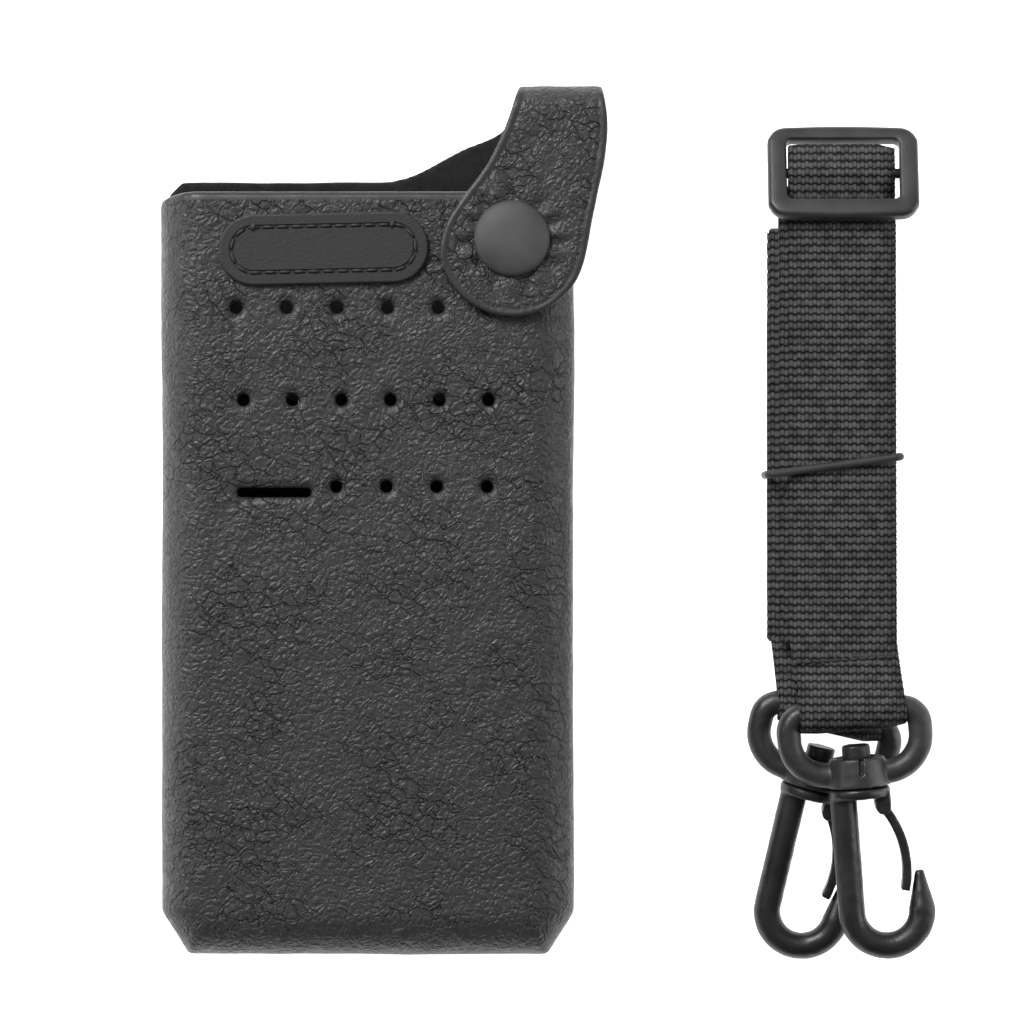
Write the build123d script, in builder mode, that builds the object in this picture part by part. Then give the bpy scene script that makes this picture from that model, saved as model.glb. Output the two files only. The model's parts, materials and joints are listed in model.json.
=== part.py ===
"""Leather carry case for a pocket radio, with its folded shoulder strap beside it.

The case lies on its back: +Z points out of its front, +Y runs from its base to its mouth.
The origin lies on the outer face of the belt loop, under the middle of the case.
All sizes are in millimetres.
"""

import os
from math import atan2, cos, degrees, radians, sin

from build123d import *

# ---------------------------------------------------------------- case sizes
case_width = 77.0
case_height = 142.0
case_depth = 30.0           # moulded leather, from the back panel's inner face to the front
leather = 2.0               # case leather
edge_radius = 8.0           # front edges of the moulded leather
corner_cut_x = 5.0          # the two cut corners at the base
corner_cut_y = 8.0
flange_width = 6.0          # turned-in edge that is sewn to the back panel
flange_thickness = 1.4
lining = 0.5                # suede lining
skin_gap = 0.05             # glue line between leather and lining

belt_gap = 5.0              # room for a belt between loop and back panel
belt_loop_leather = 2.0
belt_loop_width = 40.0
belt_loop_flat = 64.0       # length that stands away from the back panel
belt_loop_foot = 10.0       # length of each fixed end
belt_loop_ramp = 7.0
belt_loop_y = -8.0
belt_rivet_spread = 28.0    # between the two rivets of each foot

back_outer = belt_gap + belt_loop_leather       # height of the back panel's outer face
back_inner = back_outer + leather
front_outer = back_inner + case_depth
front_inner = front_outer - leather
mouth = case_height / 2
base = -case_height / 2
back_panel_top = mouth + 3.7                    # the back panel stands above the front lip
belt_rivets = [
    (x * belt_rivet_spread / 2, belt_loop_y + y * (belt_loop_flat / 2 + belt_loop_ramp + belt_loop_foot / 2))
    for y in (-1, 1) for x in (-1, 1)
]

# ---------------------------------------------------------------- front details
hole_radius = 1.3
hole_rows = [               # distance below the mouth, first hole, hole pitch, number of holes
    (21.4, -24.3, 9.4, 6),
    (38.5, -22.9, 9.1, 6),
    (54.6, -5.7, 9.35, 4),
]
slot_length = 13.8
slot_width = 1.7
slot_place = (-17.2, mouth - 55.7)

badge_length = 39.0
badge_width = 13.2
badge_thickness = 1.2
badge_rim = 2.4             # rim outside the stitch groove
badge_groove = 0.9
badge_groove_depth = 0.4
badge_turn = 1.2            # degrees
badge_place = (-8.0, mouth - 10.4)
stitch_length = 2.0
stitch_pitch = 2.7
stitch_width = 0.55
stitch_proud = 0.15

# ---------------------------------------------------------------- keeper strap
keeper_leather = 2.0
keeper_lift = 0.7           # gap between the strap and the front of the case
snap_place = (27.0, mouth - 8.6)
keeper_end_radius = 13.7
keeper_end_place = (27.1, mouth - 9.4)
keeper_top = mouth + 20.0   # outer face of the strap where it crosses over the mouth
keeper_fold_radius = 5.0    # outer radius of both folds
keeper_top_left = 28.6
keeper_top_right = 43.2
keeper_shoulder = (44.7, mouth + 10.9)          # widest place of the strap's right edge
keeper_waist = (22.0, mouth + 4.6)              # where its left edge turns into the round end
keeper_flank = (41.5, mouth - 7.0)              # right edge, beside the snap
keeper_root_left = 1.5                          # where the back panel starts to rise
fold_gap = 0.1              # cut between the strap's parts, at the folds

cap_radius = 7.05
cap_dome = 1.6
cap_rim = 0.8
stud_radius = 2.9
stud_height = 2.3
stud_crown = 0.8            # height of its rounded top
stud_flange_radius = 4.6
stud_flange = 0.4
socket_radius = 5.0
socket_clearance = 0.6      # the strap's end swings off the stud in an arc
rivet_post = 1.5
rivet_head_radius = 3.2
rivet_head = 0.6
pad_radius = 5.2            # wide heads that hold the ring tabs

# ---------------------------------------------------------------- rings on the back
ring_wire = 1.2             # radius of the wire
ring_inside = 13.0
ring_tab_width = 11.0
ring_tab_leather = 1.2
ring_tab_length = 14.0
ring_offset = 18.6          # of each ring from the middle of the case
ring_bar_y = mouth - 15.0
ring_rivet_y = ring_bar_y + 8.6
ring_straight = 3.0
ring_corner = 2.0
ring_tip = 15.0             # degrees
running_gap = 0.1

# ---------------------------------------------------------------- shoulder strap
webbing_width = 20.0
webbing = 1.2               # thickness
layer_pitch = 1.3
band_radius = 0.75          # rubber band's section
stack_base = 2 * band_radius + 0.2
strap_x = 89.8              # middle of the front run
bundle_x = strap_x - 3.4    # middle of the folded runs behind it
bundle_top = 66.0
bundle_bottom = -14.2
front_level = 11            # number of webbing layers under the front run

slider_width = 28.6
slider_height = 19.0
slider_thickness = 3.0
slider_bar = 3.2
slider_side = 3.0
slider_round = 5.0
slider_tilt = 22.0
middle_bar = 0.9            # radius
slider_y = 75.9
slider_edge = 1.2           # rounding of its bars
webbing_bulge = 5.0         # loose loop of webbing beyond the middle bar
webbing_bulge_top = 0.6
band_y = 20.5
band_turn = -7.7             # degrees

eye_tube = 2.3
eye_half_width = 12.5       # of its centreline
eye_bar_corner = 3.4        # beside the webbing
eye_foot_corner = 7.0       # beside the hub
eye_running_gap = 0.4       # round the bar, whose ends curve away inside the webbing
eye_bar_v = -16.6           # bar's place along the swivel axis, from the collar's lower face
eye_foot_v = -4.6
hub_top_radius = 5.25
hub_foot_radius = 5.9
hub_height = 5.6
collar_thickness = 2.0
swivel_gap = 0.15
stem_radius = 2.0
stem_head_radius = 2.7
stem_head = 3.0
hub_cup_radius = 3.9
hub_cup_depth = 0.8

shank_radius = 2.55
shank_u = -3.1              # shank beside the swivel axis
hook_bend = 6.7             # radius of the bend's centreline
hook_bend_v = 21.9
tip_v = 14.6
tip_radius = 0.8
gate_thickness = 1.7
gate_width = 3.8
gate_pivot = (4.3, 1.9)     # beside the axis, and below the collar
gate_pin = 0.75
gate_barrel = 1.45
lug_thickness = 1.1
lug_radius = 1.45
gate_end_v = 18.2
gate_bow = 9.2              # greatest reach of the gate from the axis

# each hook: place of its eye's bar, turn about Z, slope down to the hook's end
hook_places = {
    "front": dict(x=strap_x + 1.9, y=-26.0, turn=4.5, slope=3.0),
    "rear": dict(x=bundle_x + 1.3, y=-26.8, turn=-13.0, slope=6.0),
}
rear_collar_lift = 0.2      # the rear collar's height above the surface


def level(number):
    """Height of the middle of one webbing layer, counted from the lowest."""
    return stack_base + webbing / 2 + number * layer_pitch


stack_top = level(front_level) + webbing / 2
slider_z = level(front_level) - 0.3
hook_places["front"]["z"] = (level(front_level) + level(front_level - 1)) / 2
hook_places["rear"]["z"] = (
    hub_foot_radius + rear_collar_lift - (eye_bar_v + 1) * sin(radians(hook_places["rear"]["slope"]))
)

os.makedirs("parts", exist_ok=True)


def keep(shape, label):
    """Names a finished piece and writes it as its own STEP file."""
    shape.label = label
    export_step(shape, f"parts/{label}.step")


# ================================================================ moulded leather body
def pouch_block(inset, bottom, over_mouth):
    """Solid block of the pouch's shape, its walls moved in by inset, from height bottom."""
    half = case_width / 2
    with BuildPart() as block:
        with BuildSketch(Plane.XY.offset(bottom)) as plan:
            with BuildLine():
                Polyline(
                    (-half, mouth), (-half, base + corner_cut_y), (-half + corner_cut_x, base),
                    (half - corner_cut_x, base), (half, base + corner_cut_y), (half, mouth), close=True,
                )
            make_face()
            if inset:
                offset(amount=-inset, kind=Kind.INTERSECTION)
        extrude(amount=front_outer - inset - bottom)
        top_edges = block.faces().sort_by(Axis.Z)[-1].edges()
        rounded = [e for e in top_edges if e.center().Y < mouth - inset - 0.01]
        fillet(rounded, edge_radius - inset)
        if over_mouth:
            end = block.faces().sort_by(Axis.Y)[-1]
            extrude(end, amount=inset + over_mouth)
    return block.part


def speaker_holes():
    """Pins for the rows of holes and the slot, through everything at the front."""
    with BuildPart() as pins:
        with BuildSketch(Plane.XY.offset(front_inner - 3)):
            for below, first, pitch, count in hole_rows:
                for number in range(count):
                    with Locations((first + number * pitch, mouth - below)):
                        Circle(hole_radius)
            with Locations(slot_place):
                SlotOverall(slot_length, slot_width)
        extrude(amount=leather + 6)
    return pins.part


holes = speaker_holes()
snap_hole = Pos(*snap_place, front_inner - 3) * Cylinder(
    rivet_post, leather + 6, align=(Align.CENTER, Align.CENTER, Align.MIN), mode=Mode.PRIVATE
)

flange_window = Pos(0, flange_width, back_inner) * extrude(
    Rectangle(case_width - 2 * flange_width, case_height + 0.02), flange_thickness + 0.02, mode=Mode.PRIVATE
)

with BuildPart() as body_shell:
    add(pouch_block(0, back_inner, 0))
    add(pouch_block(leather, back_inner + flange_thickness, 5), mode=Mode.SUBTRACT)
    add(flange_window, mode=Mode.SUBTRACT)
    add(holes, mode=Mode.SUBTRACT)
    add(snap_hole, mode=Mode.SUBTRACT)
keep(body_shell.part, "body_shell")

stud_back_radius = 4.2
with BuildPart() as pouch_lining:
    add(pouch_block(leather + skin_gap, back_inner + flange_thickness + skin_gap, 0))
    add(
        pouch_block(leather + skin_gap + lining, back_inner + flange_thickness - 1, 5),
        mode=Mode.SUBTRACT,
    )
    add(holes, mode=Mode.SUBTRACT)
    with BuildSketch(Plane.XY.offset(front_inner - 2)):
        with Locations(snap_place):
            Circle(stud_back_radius + 0.3)
    extrude(amount=3, mode=Mode.SUBTRACT)
keep(pouch_lining.part, "pouch_lining")

# ================================================================ back panel
# Its top edge rises on the right into the root of the keeper strap.
fold_z = back_outer + keeper_fold_radius        # middle of the rear fold
fold_y = keeper_top - keeper_fold_radius
half_width = case_width / 2
panel_round = 2.5

with BuildPart() as back_panel:
    with BuildSketch(Plane.XY.offset(back_outer)):
        with BuildLine():
            corner = Polyline(
                (keeper_root_left, back_panel_top), (-half_width + panel_round, back_panel_top),
                (-half_width, back_panel_top - panel_round), (-half_width, base + corner_cut_y),
                (-half_width + corner_cut_x, base), (half_width - corner_cut_x, base),
                (half_width, base + corner_cut_y), (half_width, mouth - 6),
            )
            right = Spline(
                corner @ 1, (keeper_shoulder[0] - 1, mouth + 9), (keeper_top_right, fold_y - fold_gap),
                tangents=((0, 1), (-0.15, 1)),
            )
            top = Line(right @ 1, (keeper_top_left - 2.3, fold_y - fold_gap))
            Spline(
                top @ 1, (18.3, mouth + 10.2), corner @ 0,
                tangents=((-0.6, -1), (-1, 0)),
            )
        make_face()
    extrude(amount=leather)
    with Locations(Plane.XY.offset(back_inner)):
        with Locations(*[(side * ring_offset, ring_rivet_y) for side in (-1, 1)], *belt_rivets):
            Hole(rivet_post, depth=leather)
keep(back_panel.part, "back_panel")

with BuildPart() as back_lining:
    inner = flange_width + 0.3
    lining_base = base + inner
    with BuildSketch(Plane.XY.offset(back_inner)):
        with Locations((0, (back_panel_top - 1.0 + lining_base) / 2)):
            Rectangle(case_width - 2 * inner, back_panel_top - 1.0 - lining_base)
        chamfer(vertices().group_by(Axis.Y)[0], 4)
        with Locations(*[(side * ring_offset, ring_rivet_y) for side in (-1, 1)]):
            Circle(pad_radius + skin_gap, mode=Mode.SUBTRACT)
        with Locations(*belt_rivets):
            Circle(rivet_head_radius + skin_gap, mode=Mode.SUBTRACT)
    extrude(amount=lining)
keep(back_lining.part, "back_lining")

# ================================================================ keeper strap, two moving parts
front_leg = front_outer + keeper_lift           # underside of the strap on the front


def keeper_side(kind):
    """Side view of the strap, as a slab wider than the strap: 'bridge' or 'flap'."""
    slab_left, slab_width = keeper_end_place[0] - 40, 80
    outer, inner_radius = keeper_fold_radius, keeper_fold_radius - keeper_leather
    top_z = front_leg + keeper_leather
    with BuildPart() as slab:
        with BuildSketch(Plane.YZ.offset(slab_left)):
            if kind == "bridge":
                with BuildLine():
                    start = (fold_y, back_outer)
                    rear_out = RadiusArc(start, (keeper_top, fold_z), -outer)
                    across = Line(rear_out @ 1, (keeper_top, top_z - outer - fold_gap))
                    down = Line(across @ 1, (keeper_top - keeper_leather, top_z - outer - fold_gap))
                    back = Line(down @ 1, (keeper_top - keeper_leather, fold_z))
                    rear_in = RadiusArc(back @ 1, (fold_y, back_inner), inner_radius)
                    Line(rear_in @ 1, start)
                make_face()
            else:
                with BuildLine():
                    start = (keeper_top, top_z - outer)
                    turn_out = RadiusArc(start, (fold_y, top_z), -outer)
                    along = Line(turn_out @ 1, (mouth - 40, top_z))
                    end = Line(along @ 1, (mouth - 40, front_leg))
                    back = Line(end @ 1, (fold_y, front_leg))
                    turn_in = RadiusArc(back @ 1, (keeper_top - keeper_leather, top_z - outer), inner_radius)
                    Line(turn_in @ 1, start)
                make_face()
        extrude(amount=slab_width)
    return slab.part


with BuildPart() as keeper_bridge:
    add(keeper_side("bridge"))
    with BuildSketch(Plane.XY.offset(back_outer - 1)):
        with BuildLine():
            Polyline(
                (keeper_top_left - 2.3, fold_y - 1), (keeper_top_left, keeper_top + 1),
                (keeper_top_right, keeper_top + 1), (keeper_top_right, fold_y - 1), close=True,
            )
        make_face()
    extrude(amount=front_outer, mode=Mode.INTERSECT)
keep(keeper_bridge.part, "keeper_bridge")

with BuildPart() as keeper_flap:
    add(keeper_side("flap"))
    cx, cy = keeper_end_place
    with BuildSketch(Plane.XY.offset(back_outer)):
        with BuildLine():
            top = Line((keeper_top_left, keeper_top + 1), (keeper_top_right, keeper_top + 1))
            right_side = Spline(
                top @ 1, keeper_shoulder, keeper_flank, (cx + keeper_end_radius * cos(radians(-22)),
                                                         cy + keeper_end_radius * sin(radians(-22))),
                tangents=((0.4, -1), (-0.4, -1)),
            )
            bowl = CenterArc(keeper_end_place, keeper_end_radius, -22, -142)
            Spline(
                bowl @ 1, keeper_waist, top @ 0,
                tangents=((-0.2, 1), (0.3, 1)),
            )
        make_face()
    extrude(amount=front_outer + 20, mode=Mode.INTERSECT)
    with Locations(Plane.XY.offset(front_leg + keeper_leather)):
        with Locations(snap_place):
            Hole(socket_radius, depth=keeper_leather + 1)
keep(keeper_flap.part, "keeper_flap")

# ================================================================ snap fastener
def dome(radius, rise, foot, middle):
    """Shallow round dome, its foot at height foot."""
    ball = (radius ** 2 + rise ** 2) / (2 * rise)
    with BuildPart() as cap:
        with Locations((*middle, foot + rise - ball)):
            Sphere(ball)
        with BuildSketch(Plane.XY.offset(foot)):
            with Locations(middle):
                Circle(radius)
        extrude(amount=rise + 1, mode=Mode.INTERSECT)
    return cap.part


cap_seat = front_leg + keeper_leather
with BuildPart() as snap_cap:
    with BuildSketch(Plane.XY.offset(cap_seat)):
        with Locations(snap_place):
            Circle(cap_radius)
    extrude(amount=cap_rim)
    add(dome(cap_radius, cap_dome, cap_seat + cap_rim, snap_place))
keep(snap_cap.part, "snap_cap")

# The socket fills the hole in the strap's end, under the cap, and clips over the stud.
with BuildPart() as snap_socket:
    with BuildSketch(Plane.XY.offset(front_leg)):
        with Locations(snap_place):
            Circle(socket_radius - skin_gap)
            Circle(stud_radius + socket_clearance, mode=Mode.SUBTRACT)
    extrude(amount=keeper_leather)
keep(snap_socket.part, "snap_socket")

with BuildPart() as snap_stud:
    with BuildSketch(Plane.XY.offset(front_inner)):
        with Locations(snap_place):
            Circle(rivet_post - skin_gap)
    extrude(amount=leather)
    with BuildSketch(Plane.XY.offset(front_outer)):
        with Locations(snap_place):
            Circle(stud_flange_radius)
    extrude(amount=stud_flange)
    with BuildSketch(Plane.XY.offset(front_outer)):
        with Locations(snap_place):
            Circle(stud_radius)
    extrude(amount=stud_height - stud_crown)
    add(dome(stud_radius, stud_crown, front_outer + stud_height - stud_crown, snap_place))
keep(snap_stud.part, "snap_stud")

# ================================================================ badge, left bare
badge_plane = Plane((*badge_place, front_outer)).rotated((0, 0, badge_turn))
stitch_ring_length = badge_length - 2 * badge_rim
stitch_ring_width = badge_width - 2 * badge_rim
with BuildPart() as badge:
    with BuildSketch(badge_plane):
        SlotOverall(badge_length, badge_width)
    extrude(amount=badge_thickness)
    fillet(badge.edges().group_by(Axis.Z)[-1], 0.4)
    with BuildSketch(badge_plane.offset(badge_thickness)):
        SlotOverall(stitch_ring_length + badge_groove, stitch_ring_width + badge_groove)
        SlotOverall(stitch_ring_length - badge_groove, stitch_ring_width - badge_groove, mode=Mode.SUBTRACT)
    extrude(amount=-badge_groove_depth, mode=Mode.SUBTRACT)
keep(badge.part, "badge")

with BuildSketch(mode=Mode.PRIVATE) as stitch_ring:
    SlotOverall(stitch_ring_length, stitch_ring_width)
stitch_line = stitch_ring.sketch.face().outer_wire()
stitch_count = round(stitch_line.length / stitch_pitch)
with BuildPart() as badge_stitches:
    with BuildSketch(badge_plane.offset(badge_thickness - badge_groove_depth)):
        for number in range(stitch_count):
            along = stitch_line % (number / stitch_count)
            with Locations(Location(stitch_line @ (number / stitch_count), (0, 0, degrees(atan2(along.Y, along.X))))):
                Rectangle(stitch_length, stitch_width)
    extrude(amount=badge_groove_depth + stitch_proud)
keep(badge_stitches.part, "badge_stitches")


# ================================================================ rivets
def rivet(middle, low, high, radius=None):
    """Rivet through the back panel: a low head below low, a post and a head on height high."""
    head = radius or rivet_head_radius
    with BuildPart() as piece:
        for height, size, amount in [
            (low - rivet_head, head, rivet_head),
            (low, rivet_post - skin_gap, high - low),
            (high, head, rivet_head),
        ]:
            with BuildSketch(Plane.XY.offset(height)):
                with Locations(middle):
                    Circle(size)
            extrude(amount=amount)
    return piece.part


# ================================================================ belt loop
loop_half = belt_loop_flat / 2
foot_inner = loop_half + belt_loop_ramp
with BuildPart() as belt_loop:
    with BuildSketch(Plane.YZ.offset(-belt_loop_width / 2)):
        with BuildLine():
            FilletPolyline(
                (belt_loop_y - foot_inner - belt_loop_foot, back_outer - belt_loop_leather / 2),
                (belt_loop_y - foot_inner, back_outer - belt_loop_leather / 2),
                (belt_loop_y - loop_half, belt_loop_leather / 2),
                (belt_loop_y + loop_half, belt_loop_leather / 2),
                (belt_loop_y + foot_inner, back_outer - belt_loop_leather / 2),
                (belt_loop_y + foot_inner + belt_loop_foot, back_outer - belt_loop_leather / 2),
                radius=3.0,
            )
            offset(amount=belt_loop_leather / 2, side=Side.BOTH, kind=Kind.INTERSECTION)
        make_face()
    extrude(amount=belt_loop_width)
    with Locations(Plane.XY.offset(back_outer)):
        with Locations(*belt_rivets):
            Hole(rivet_post, depth=belt_loop_leather)
keep(belt_loop.part, "belt_loop")

for number, middle in enumerate(belt_rivets, start=1):
    keep(rivet(middle, back_outer - belt_loop_leather, back_inner), f"belt_loop_rivet_{number}")

# ================================================================ rings for the strap, on the back
ring_bar_z = back_outer - ring_tab_leather - running_gap - ring_wire
ring_tab_bottom = back_outer - 2 * ring_tab_leather
for side, sign in (("left", -1), ("right", 1)):
    ring_x = sign * ring_offset
    tab_outer = ring_wire + running_gap + ring_tab_leather
    with BuildPart() as ring_tab:
        with BuildSketch(Plane.YZ.offset(ring_x - ring_tab_width / 2)):
            with Locations((ring_bar_y, ring_bar_z)):
                Circle(tab_outer)
            with BuildLine():
                Polyline(
                    (ring_bar_y, ring_bar_z + tab_outer), (ring_bar_y + ring_tab_length, back_outer),
                    (ring_bar_y + ring_tab_length, ring_tab_bottom),
                    (ring_bar_y + tab_outer + 0.6, ring_tab_bottom), (ring_bar_y, ring_bar_z - tab_outer),
                    close=True,
                )
            make_face()
            with Locations((ring_bar_y, ring_bar_z)):
                Circle(ring_wire + running_gap, mode=Mode.SUBTRACT)
        extrude(amount=ring_tab_width)
        with Locations(Plane.XY.offset(back_outer)):
            with Locations((ring_x, ring_rivet_y)):
                Hole(rivet_post, depth=2 * ring_tab_leather)
    keep(ring_tab.part, f"ring_tab_{side}")
    keep(rivet((ring_x, ring_rivet_y), ring_tab_bottom, back_inner, pad_radius), f"ring_tab_rivet_{side}")

    # a D of round wire, hung from its straight bar and tipped down to the surface below
    ring_plane = Plane(
        (ring_x, ring_bar_y, ring_bar_z), x_dir=(1, 0, 0), z_dir=(0, -sin(radians(ring_tip)), cos(radians(ring_tip)))
    )
    ring_half = ring_inside / 2 + ring_wire
    with BuildPart() as d_ring:
        with BuildLine(ring_plane):
            bar = FilletPolyline(
                (0, 0), (ring_half, 0), (ring_half, -ring_straight),
                radius=ring_corner,
            )
            bow = CenterArc((0, -ring_straight), ring_half, 0, -90)
        with BuildSketch(Plane(bar @ 0, z_dir=bar % 0)):
            Circle(ring_wire)
        sweep(transition=Transition.ROUND)
        mirror(about=Plane.YZ.offset(ring_x))
    keep(d_ring.part, f"d_ring_{side}")

# ================================================================ folded shoulder strap
front_bar = hook_places["front"]
rear_bar = hook_places["rear"]
loop_outer = eye_tube + eye_running_gap + webbing


def webbing_loop(bar, neck_y, neck_z, neck_thickness):
    """Doubled end of the webbing round a ring's bar, tapering back into the folded runs."""
    plane = Plane((bar["x"], bar["y"], bar["z"]), x_dir=(cos(radians(bar["turn"])), sin(radians(bar["turn"])), 0),
                  z_dir=(0, 0, 1))
    side = Plane(plane.origin, x_dir=plane.y_dir, z_dir=plane.x_dir)
    reach = neck_y - bar["y"]
    lift = neck_z - bar["z"]
    with BuildPart() as loop:
        with BuildSketch(side.offset(-webbing_width / 2)):
            Circle(loop_outer)
            with BuildLine():
                Polyline(
                    (0, loop_outer), (reach, lift + neck_thickness / 2), (reach, lift - neck_thickness / 2),
                    (0, -loop_outer), close=True,
                )
            make_face()
            Circle(eye_tube + eye_running_gap, mode=Mode.SUBTRACT)
        extrude(amount=webbing_width)
    return loop.part


bundle_height = level(front_level - 1) + webbing / 2 - stack_base
with BuildPart() as webbing_part:
    with BuildSketch(Plane.YZ.offset(bundle_x - webbing_width / 2)):
        with Locations(((bundle_top + bundle_bottom) / 2, stack_base + bundle_height / 2)):
            RectangleRounded(bundle_top - bundle_bottom, bundle_height, 1.5)
    extrude(amount=webbing_width)
    # the front run, over the slider's middle bar and back under it
    turn = middle_bar + running_gap + webbing
    with BuildSketch(Plane.YZ.offset(strap_x - webbing_width / 2)):
        with BuildLine():
            Polyline(
                (bundle_bottom, level(front_level) - webbing / 2 - 0.1),
                (bundle_bottom, level(front_level) + webbing / 2),
                (slider_y - slider_height / 3, level(front_level) + webbing / 2),
                (slider_y, slider_z + turn), (slider_y + webbing_bulge, slider_z + webbing_bulge_top),
                (slider_y + webbing_bulge, slider_z - turn), (slider_y - slider_height / 2, slider_z - turn),
                (bundle_top - 3, level(front_level) - webbing / 2 - 0.1), close=True,
            )
        make_face()
        with Locations((slider_y, slider_z)):
            Circle(turn)
            Circle(middle_bar + running_gap, mode=Mode.SUBTRACT)
    extrude(amount=webbing_width)
    add(webbing_loop(front_bar, bundle_bottom + 2, (level(front_level) + level(front_level - 1)) / 2, 2.5))
    add(webbing_loop(rear_bar, bundle_bottom + 2, rear_bar["z"], 6.0))
keep(webbing_part.part, "webbing")

with BuildPart() as slider:
    tilted = Plane((strap_x, slider_y, slider_z), x_dir=(1, 0, 0),
                   z_dir=(0, sin(radians(slider_tilt)), cos(radians(slider_tilt))))
    with BuildSketch(tilted.offset(-slider_thickness / 2)):
        RectangleRounded(slider_width, slider_height, slider_round)
        RectangleRounded(
            slider_width - 2 * slider_side, slider_height - 2 * slider_bar, slider_round - slider_side + 0.6,
            mode=Mode.SUBTRACT,
        )
    extrude(amount=slider_thickness)
    fillet(slider.edges().filter_by(GeomType.LINE, reverse=True) + slider.edges().filter_by(Axis.X), slider_edge)
    with BuildSketch(Plane.YZ.offset(strap_x - slider_width / 2 + slider_side / 2)):
        with Locations((slider_y, slider_z)):
            Circle(middle_bar)
    extrude(amount=slider_width - slider_side)
keep(slider.part, "slider")

# the rubber band, close round both stacks of webbing
band_gap = 0.15
band_left = bundle_x - webbing_width / 2 - band_gap - band_radius
band_right = strap_x + webbing_width / 2 + band_gap + band_radius
band_low = stack_base - band_gap - band_radius
band_high = stack_top + band_gap + band_radius
with BuildPart() as band:
    lean = Plane(
        ((band_left + band_right) / 2, band_y, 0), x_dir=(cos(radians(band_turn)), -sin(radians(band_turn)), 0),
        z_dir=(sin(radians(band_turn)), cos(radians(band_turn)), 0),
    )
    reach = (band_right - band_left) / 2
    with BuildLine(lean):
        round_pack = FilletPolyline(
            (-reach, -band_low), (reach, -band_low), (reach, -band_high), (-reach, -band_high),
            radius=band_radius + 0.3, close=True,
        )
    with BuildSketch(Plane(round_pack @ 0, z_dir=round_pack % 0)):
        Circle(band_radius)
    sweep()
keep(band.part, "rubber_band")


# ================================================================ swivel eyes and hooks
# Each is drawn flat first: x to the right, y back along the swivel towards the ring, with the
# collar's lower face at the origin. It is then carried to its ring's bar.
def hook_location(bar):
    """From the flat drawing to the place of the eye whose bar is given."""
    at_bar = Location((bar["x"], bar["y"], bar["z"]), (0, 0, 1), bar["turn"])
    return at_bar * Location((0, 0, 0), (1, 0, 0), bar["slope"]) * Location((0, eye_bar_v, 0))


hub_foot = collar_thickness + swivel_gap
hub_top = hub_foot + hub_height
with BuildPart() as eye:
    with BuildLine():
        eye_line = FilletPolyline(
            (-eye_half_width, -eye_bar_v), (eye_half_width, -eye_bar_v),
            (eye_half_width, -eye_foot_v), (-eye_half_width, -eye_foot_v),
            radius=[eye_bar_corner, eye_bar_corner, eye_foot_corner, eye_foot_corner], close=True,
        )
    with BuildSketch(Plane(eye_line @ 0.1, z_dir=eye_line % 0.1)):
        Circle(eye_tube)
    sweep(path=eye_line)
    with BuildSketch(Plane.XZ.offset(-hub_foot)):
        Circle(hub_foot_radius)
    with BuildSketch(Plane.XZ.offset(-hub_top)):
        Circle(hub_top_radius)
    loft()
    with BuildSketch(Plane.XZ.offset(-hub_foot + 0.01)):
        Circle(stem_radius + swivel_gap)
    extrude(amount=-hub_height - 1, mode=Mode.SUBTRACT)
    with BuildSketch(Plane.XZ.offset(-hub_top + hub_cup_depth)):
        Circle(hub_cup_radius)
    extrude(amount=-hub_cup_depth - 0.01, mode=Mode.SUBTRACT)

cup_floor = hub_top - hub_cup_depth
with BuildPart() as hook:
    with BuildSketch(Plane.XZ):
        Circle(hub_foot_radius)
    extrude(amount=-collar_thickness)
    fillet(hook.edges(), 0.5)
    with BuildSketch(Plane.XZ.offset(-collar_thickness / 2)):
        Circle(stem_radius)
    extrude(amount=collar_thickness / 2 - cup_floor - stem_head)
    with BuildSketch(Plane.XZ.offset(-cup_floor - swivel_gap)):
        Circle(stem_head_radius)
    extrude(amount=-stem_head)
    with BuildLine():
        shank = Line((shank_u, collar_thickness / 2), (shank_u, -hook_bend_v))
        bend = CenterArc((shank_u + hook_bend, -hook_bend_v), hook_bend, 180, 180)
    with BuildSketch(Plane(shank @ 0, z_dir=shank % 0)):
        Circle(shank_radius)
    sweep()
    with BuildSketch(Plane.XZ.offset(hook_bend_v)):
        with Locations((shank_u + 2 * hook_bend, 0)):
            Circle(shank_radius)
    with BuildSketch(Plane.XZ.offset(tip_v)):
        with Locations((shank_u + 2 * hook_bend, 0)):
            Circle(tip_radius)
    loft()
    lug_offset = gate_width / 2 + swivel_gap
    for start in (-lug_offset - lug_thickness, lug_offset):
        with BuildSketch(Plane.XY.offset(start)):
            with BuildLine():
                Polyline(
                    (gate_pivot[0] - lug_radius, collar_thickness / 2),
                    (gate_pivot[0] + lug_radius, collar_thickness / 2),
                    (gate_pivot[0] + lug_radius, -gate_pivot[1]), (gate_pivot[0] - lug_radius, -gate_pivot[1]),
                    close=True,
                )
            make_face()
            with Locations((gate_pivot[0], -gate_pivot[1])):
                Circle(lug_radius)
        extrude(amount=lug_thickness)
    with BuildSketch(Plane.XY.offset(-lug_offset)):
        with Locations((gate_pivot[0], -gate_pivot[1])):
            Circle(gate_pin)
    extrude(amount=2 * lug_offset)

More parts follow.
